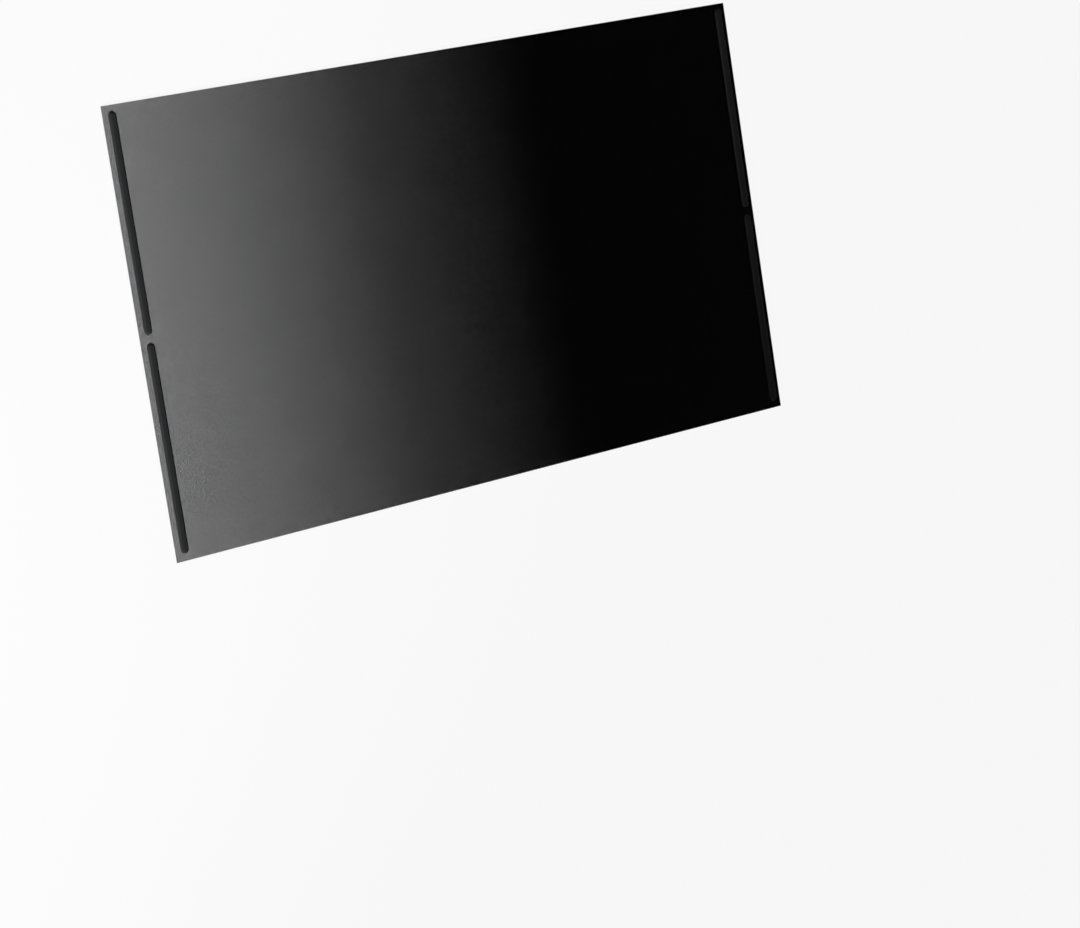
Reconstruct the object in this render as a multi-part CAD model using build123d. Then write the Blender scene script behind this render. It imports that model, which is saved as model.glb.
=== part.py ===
from build123d import *
import os

# Privacy filter: a thin louvred film, cut to cover a viewing area of 15.6 inches in the 16:9
# shape, with two magnetic strips bonded down each side of its front face.
# It lies on its back face at z = 0, with the origin under its middle. The front face is up,
# +X points to the right-hand edge and +Y to the top edge, as the person reading through it sees it.

# The clear viewing area, in millimetres
VIEW_WIDTH = 344.2
VIEW_HEIGHT = 193.5

# The film
FILM_THICKNESS = 0.55
FILM_CORNER_RADIUS = 0.5
FILM_END_OVERLAP = 3.25     # film beyond the viewing area, above it and below it
FILM_SIDE_MARGIN = 2.8      # film outside each strip, out to the side edge

# The magnetic strips
STRIP_WIDTH = 3.9
STRIP_FACE_WIDTH = 1.9      # flat face on top, inside the bevel that runs round the strip
STRIP_THICKNESS = 1.1
STRIP_WALL_HEIGHT = 0.65    # upright side under the bevel
STRIP_EDGE_RADIUS = 0.25    # rounding of the bevel's two edges
STRIP_VIEW_CLEARANCE = 0.7  # from the viewing area out to the strip
STRIP_TOP_MARGIN = 2.7      # film above the upper strip
STRIP_BOTTOM_MARGIN = 3.4   # film below the lower strip
STRIP_GAP = 3.6             # between the upper and the lower strip of a side
STRIP_GAP_DROP = 1.8        # from the middle of the film down to the middle of that gap

# What follows from them
film_width = VIEW_WIDTH + 2 * (STRIP_VIEW_CLEARANCE + STRIP_WIDTH + FILM_SIDE_MARGIN)
film_height = VIEW_HEIGHT + 2 * FILM_END_OVERLAP
strip_centre_x = film_width / 2 - FILM_SIDE_MARGIN - STRIP_WIDTH / 2
upper_strip_span = (STRIP_GAP / 2 - STRIP_GAP_DROP, film_height / 2 - STRIP_TOP_MARGIN)
lower_strip_span = (STRIP_BOTTOM_MARGIN - film_height / 2, -STRIP_GAP / 2 - STRIP_GAP_DROP)


def filter_film():
    """The film, die-cut as one flat sheet with barely rounded corners."""
    outline = RectangleRounded(film_width, film_height, FILM_CORNER_RADIUS)
    return extrude(outline, FILM_THICKNESS)


def magnet_strip(x, span):
    """One strip from the lower to the upper y of its span, with round ends and a bevel round its
    flat face, seated on the film's front face."""
    foot, head = span
    outline = SlotOverall(head - foot, STRIP_WIDTH, rotation=90)
    strip = extrude(outline, STRIP_THICKNESS)
    top = strip.faces().sort_by(Axis.Z)[-1]
    bevel_width = (STRIP_WIDTH - STRIP_FACE_WIDTH) / 2
    bevel_drop = STRIP_THICKNESS - STRIP_WALL_HEIGHT
    strip = chamfer(top.edges(), bevel_width, bevel_drop, reference=top)
    _, _, wall_rim, _, face_rim = strip.edges().group_by(Axis.Z)
    strip = fillet(wall_rim + face_rim, STRIP_EDGE_RADIUS)
    return Pos(x, (foot + head) / 2, FILM_THICKNESS) * strip


pieces = {"filter_film": filter_film()}
for side, x in (("left", -strip_centre_x), ("right", strip_centre_x)):
    for level, span in (("upper", upper_strip_span), ("lower", lower_strip_span)):
        pieces[f"{side}_{level}_magnet_strip"] = magnet_strip(x, span)

os.makedirs("parts", exist_ok=True)
for name, piece in pieces.items():
    export_step(piece, f"parts/{name}.step")
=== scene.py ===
import bpy
import math
from mathutils import Matrix, Vector


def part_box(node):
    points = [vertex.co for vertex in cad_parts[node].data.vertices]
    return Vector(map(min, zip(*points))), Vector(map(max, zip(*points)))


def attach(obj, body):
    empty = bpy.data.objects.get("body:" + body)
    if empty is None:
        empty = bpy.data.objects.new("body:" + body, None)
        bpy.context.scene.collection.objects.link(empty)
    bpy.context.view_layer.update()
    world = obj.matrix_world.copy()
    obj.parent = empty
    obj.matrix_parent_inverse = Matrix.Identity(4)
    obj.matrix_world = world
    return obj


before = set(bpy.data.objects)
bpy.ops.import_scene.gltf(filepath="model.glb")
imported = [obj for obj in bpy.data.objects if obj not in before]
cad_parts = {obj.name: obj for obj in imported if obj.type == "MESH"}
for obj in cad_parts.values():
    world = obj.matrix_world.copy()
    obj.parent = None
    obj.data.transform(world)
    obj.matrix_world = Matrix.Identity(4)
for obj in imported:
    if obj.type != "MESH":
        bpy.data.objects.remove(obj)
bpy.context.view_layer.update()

# The louvre sheet
# The dark heart of the filter. Clear resin is cast with fine wedge-shaped grooves from top to bottom and
# black resin fills them, so light passes only between the louvres. They stand in pairs, which widen from
# the middle to both sides, so that the sides stay readable for eyes in the middle.
mm = 0.001
film_low, film_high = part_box("filter_film")
film_height = film_high.y - film_low.y
film_thickness = film_high.z - film_low.z
cut_margin = 0.02 * mm              # from the film's cut edge in to the louvres
half_width = film_high.x - cut_margin
pairs_per_half = 624
pair_width = half_width / pairs_per_half
pair_spread = 0.5168 * pair_width   # between the two of a pair, a little more than on to the next pair
side_widening = 0.138               # by which the outermost pair is wider than the middle one
louvre_length = film_height - 2 * cut_margin
louvre_depth = 0.1269 * mm
louvre_foot_width = 0.3 * pair_width
louvre_tip_share = 0.05             # of the foot's width
louvre_foot_z = film_low.z + (film_thickness - louvre_depth) / 2

# One pair is modelled in an emptied plane, each louvre as a foot that is drawn up to a narrow tip
bpy.ops.object.select_all(action="DESELECT")
bpy.ops.mesh.primitive_plane_add(size=1, enter_editmode=True)
louvres = bpy.context.object
louvres.name = "louvres"
bpy.ops.mesh.delete(type="VERT")
for louvre_x in ((pair_width - pair_spread) / 2, (pair_width + pair_spread) / 2):
    bpy.ops.mesh.primitive_plane_add(size=1)
    bpy.ops.transform.resize(value=(louvre_foot_width, louvre_length, 1), center_override=(0, 0, 0))
    bpy.ops.transform.translate(value=(louvre_x, 0, louvre_foot_z))
    bpy.ops.mesh.extrude_region_move(TRANSFORM_OT_translate={"value": (0, 0, louvre_depth)})
    bpy.ops.transform.resize(value=(louvre_tip_share, 1, 1), center_override=(louvre_x, 0, 0))
bpy.ops.object.mode_set(mode="OBJECT")

# The pairs are lined up from the middle to the right edge, and mirrored to the left
pairs = louvres.modifiers.new("pairs", "ARRAY")
pairs.count = pairs_per_half
pairs.use_relative_offset = False
pairs.use_constant_offset = True
pairs.constant_offset_displace = (pair_width, 0, 0)
bpy.ops.object.modifier_apply(modifier=pairs.name)
other_half = louvres.modifiers.new("other half", "MIRROR")
other_half.use_mirror_merge = False
bpy.ops.object.modifier_apply(modifier=other_half.name)
bpy.ops.object.mode_set(mode="EDIT")
bpy.ops.mesh.select_all(action="SELECT")
bpy.ops.mesh.normals_make_consistent(inside=False)
bpy.ops.object.mode_set(mode="OBJECT")

# A pair's width is the slope of its louvres' places, so the places take a third of the widening
place_widening = side_widening / 3
for corner in louvres.data.vertices:
    from_middle = corner.co.x / half_width
    corner.co.x *= (1 + place_widening * from_middle ** 2) / (1 + place_widening)
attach(louvres, "root")


def add_node(tree, kind, group=None, **inputs):
    """A node of the tree, with the named inputs set to plain values or linked to other sockets.
    In an input's name _ stands for a space."""
    node = tree.nodes.new("ShaderNode" + kind)
    if group:
        node.node_tree = group
    for name, value in inputs.items():
        socket = node.inputs[name.replace("_", " ")]
        if isinstance(value, bpy.types.NodeSocket):
            tree.links.new(value, socket)
        else:
            socket.default_value = value
    return node


def new_material(name):
    """A material with an empty node tree and its output node."""
    material = bpy.data.materials.new(name)
    material.use_nodes = True
    material.node_tree.nodes.clear()
    output = add_node(material.node_tree, "OutputMaterial")
    return material, material.node_tree, output


def new_grain():
    """A node group that speckles a surface all over, in colour, roughness and height."""
    group = bpy.data.node_groups.new("grain", "ShaderNodeTree")
    for name, kind in (("Scale", "Float"), ("Detail", "Float"), ("Dark", "Color"), ("Light", "Color"),
                       ("Smoothest", "Float"), ("Roughest", "Float")):
        group.interface.new_socket(name, in_out="INPUT", socket_type="NodeSocket" + kind)
    for name, kind in (("Color", "Color"), ("Roughness", "Float"), ("Height", "Float")):
        group.interface.new_socket(name, in_out="OUTPUT", socket_type="NodeSocket" + kind)
    given = group.nodes.new("NodeGroupInput").outputs
    place = add_node(group, "TexCoord").outputs["Object"]
    noise = add_node(group, "TexNoise", Vector=place, Scale=given["Scale"], Detail=given["Detail"])
    speckle = noise.outputs["Fac"]
    color = add_node(group, "MixRGB", Fac=speckle, Color1=given["Dark"], Color2=given["Light"])
    roughness = add_node(group, "MapRange", Value=speckle, To_Min=given["Smoothest"],
                         To_Max=given["Roughest"])
    made = group.nodes.new("NodeGroupOutput").inputs
    group.links.new(color.outputs["Color"], made["Color"])
    group.links.new(roughness.outputs["Result"], made["Roughness"])
    group.links.new(speckle, made["Height"])
    return group


grain = new_grain()
louvre_black, tree, output = new_material("louvre black")
soot = add_node(tree, "Group", grain, Scale=3000, Detail=3, Dark=(0.0004, 0.0004, 0.0004, 1),
                Light=(0.0012, 0.0012, 0.0012, 1), Smoothest=0.8, Roughest=0.95)
shader = add_node(tree, "BsdfPrincipled", Base_Color=soot.outputs["Color"],
                  Roughness=soot.outputs["Roughness"], Specular_IOR_Level=0)
tree.links.new(shader.outputs["BSDF"], output.inputs["Surface"])
louvres.data.materials.append(louvre_black)

# The film
# Clear polyester film bonded over both faces of the louvre sheet, about half a millimetre in all,
# and cut through with it. A fine matte coat on the outside keeps reflections low.
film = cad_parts["filter_film"]
clear_film, tree, output = new_material("clear film")
through = add_node(tree, "BsdfTransparent", Color=(1, 1, 1, 1))
coat_grain = add_node(tree, "Group", grain, Scale=4000, Detail=2)
coat_bump = add_node(tree, "Bump", Height=coat_grain.outputs["Height"], Strength=0.2, Distance=0.02 * mm)
coat_haze = add_node(tree, "Group", grain, Scale=18, Detail=3, Smoothest=0.26, Roughest=0.36)
coat = add_node(tree, "BsdfGlossy", Roughness=coat_haze.outputs["Roughness"],
                Normal=coat_bump.outputs["Normal"])
mirrored = add_node(tree, "Fresnel", IOR=1.08)  # low, because the matte coat mirrors little
face = add_node(tree, "MixShader", Fac=mirrored.outputs["Fac"])
tree.links.new(through.outputs["BSDF"], face.inputs[1])
tree.links.new(coat.outputs["BSDF"], face.inputs[2])
tree.links.new(face.outputs["Shader"], output.inputs["Surface"])
film.data.materials.clear()
film.data.materials.append(clear_film)

# The magnetic strips
# Flexible magnet: ferrite powder bound in black rubber, with a bevel round its flat face and
# round ends, stuck to the film's front face by an adhesive back.
strip_rubber, tree, output = new_material("strip rubber")
ferrite = add_node(tree, "Group", grain, Scale=2500, Detail=4, Dark=(0.014, 0.0145, 0.015, 1),
                   Light=(0.024, 0.025, 0.026, 1), Smoothest=0.5, Roughest=0.7)
bump = add_node(tree, "Bump", Height=ferrite.outputs["Height"], Strength=0.3, Distance=0.05 * mm)
shader = add_node(tree, "BsdfPrincipled", Base_Color=ferrite.outputs["Color"],
                  Roughness=ferrite.outputs["Roughness"], Specular_IOR_Level=0.02,
                  Normal=bump.outputs["Normal"])
tree.links.new(shader.outputs["BSDF"], output.inputs["Surface"])
for name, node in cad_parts.items():
    if name.endswith("magnet_strip"):
        node.data.materials.clear()
        node.data.materials.append(strip_rubber)


# The floor
# A plain pale studio floor under the filter, just clear of its back face. Where it is seen, directly
# or in a shiny face, most of its white is its own, so it stays even however the light falls.
def seen_rays(tree):
    """1 for a ray that shows the surface to the camera, straight on or by way of gloss or glass."""
    rays = add_node(tree, "LightPath")
    seen = rays.outputs["Is Camera Ray"]
    for name in ("Is Glossy Ray", "Is Transmission Ray"):
        both = add_node(tree, "Math")
        both.operation = "MAXIMUM"
        tree.links.new(seen, both.inputs[0])
        tree.links.new(rays.outputs[name], both.inputs[1])
        seen = both.outputs["Value"]
    return seen


floor_size = 24.0
floor_clearance = 0.1 * mm
floor_glow_share = 0.95
backdrop_white = (0.97, 0.97, 0.97, 1)
bpy.ops.object.select_all(action="DESELECT")
bpy.ops.mesh.primitive_plane_add(size=floor_size, location=(0, 0, film_low.z - floor_clearance))
floor = bpy.context.object
floor.name = "floor"
bpy.ops.object.transform_apply(location=True, rotation=True, scale=True)
floor_paint, tree, output = new_material("floor paint")
shader = add_node(tree, "BsdfPrincipled", Base_Color=(0.88, 0.88, 0.88, 1), Roughness=0.8,
                  Specular_IOR_Level=0)
glow = add_node(tree, "Emission", Color=backdrop_white, Strength=1)
glow_share = add_node(tree, "Math")
glow_share.operation = "MULTIPLY"
tree.links.new(seen_rays(tree), glow_share.inputs[0])
glow_share.inputs[1].default_value = floor_glow_share
backed = add_node(tree, "MixShader", Fac=glow_share.outputs["Value"])
tree.links.new(shader.outputs["BSDF"], backed.inputs[1])
tree.links.new(glow.outputs["Emission"], backed.inputs[2])
tree.links.new(backed.outputs["Shader"], output.inputs["Surface"])
floor.data.materials.append(floor_paint)

# The light
# A soft box with a grid stands low at the left, beyond the filter's bottom edge, so the left strips' outer
# sides and lower ends catch it. The surround gives a dim fill, and is white where it is seen.
fill_strength = 0.1
world = bpy.data.worlds.new("surround")
bpy.context.scene.world = world
world.use_nodes = True
tree = world.node_tree
tree.nodes.clear()
fill = add_node(tree, "Background", Color=(1, 1, 1, 1), Strength=fill_strength)
backdrop = add_node(tree, "Background", Color=backdrop_white, Strength=1)
surround = add_node(tree, "MixShader", Fac=seen_rays(tree))
tree.links.new(fill.outputs["Background"], surround.inputs[1])
tree.links.new(backdrop.outputs["Background"], surround.inputs[2])
add_node(tree, "OutputWorld", Surface=surround.outputs["Shader"])

soft_box_place = Vector((-0.90, -0.70, 0.36))
soft_box_aim = Vector((-0.28, 0, 0))
soft_box = bpy.data.lights.new("soft box", "AREA")
soft_box.shape = "RECTANGLE"
soft_box.size = 0.40
soft_box.size_y = 0.25
soft_box.spread = math.radians(30)
soft_box.energy = 1.5
soft_box_object = bpy.data.objects.new("soft box", soft_box)
bpy.context.scene.collection.objects.link(soft_box_object)
soft_box_turn = (soft_box_place - soft_box_aim).to_track_quat("Z", "Y").to_matrix().to_4x4()
soft_box_object.matrix_world = Matrix.Translation(soft_box_place) @ soft_box_turn

# The camera
# It looks down on the filter from its left, the way that the photograph sees its front. It aims past
# the filter's middle, to the right and below, so the filter is high and left in the picture.
camera_place = Vector((-992.4, 128.1, 1325.9)) * mm
camera_aim = Vector((25.6, -98.0, 0.0)) * mm
camera_roll = math.radians(-8.706)
camera_data = bpy.data.cameras.new("camera")
camera_data.lens = 119.87
camera_data.sensor_width = 36.0
camera = bpy.data.objects.new("camera", camera_data)
bpy.context.scene.collection.objects.link(camera)
camera_back = (camera_place - camera_aim).normalized()
camera_right = Vector((0, 1, 0)).cross(camera_back).normalized()
camera_up = camera_back.cross(camera_right)
upright = Matrix((camera_right, camera_up, camera_back)).transposed()
turned = upright @ Matrix.Rotation(camera_roll, 3, "Z")
camera.matrix_world = Matrix.Translation(camera_place) @ turned.to_4x4()
bpy.context.scene.camera = camera
bpy.context.scene.view_settings.view_transform = "Standard"
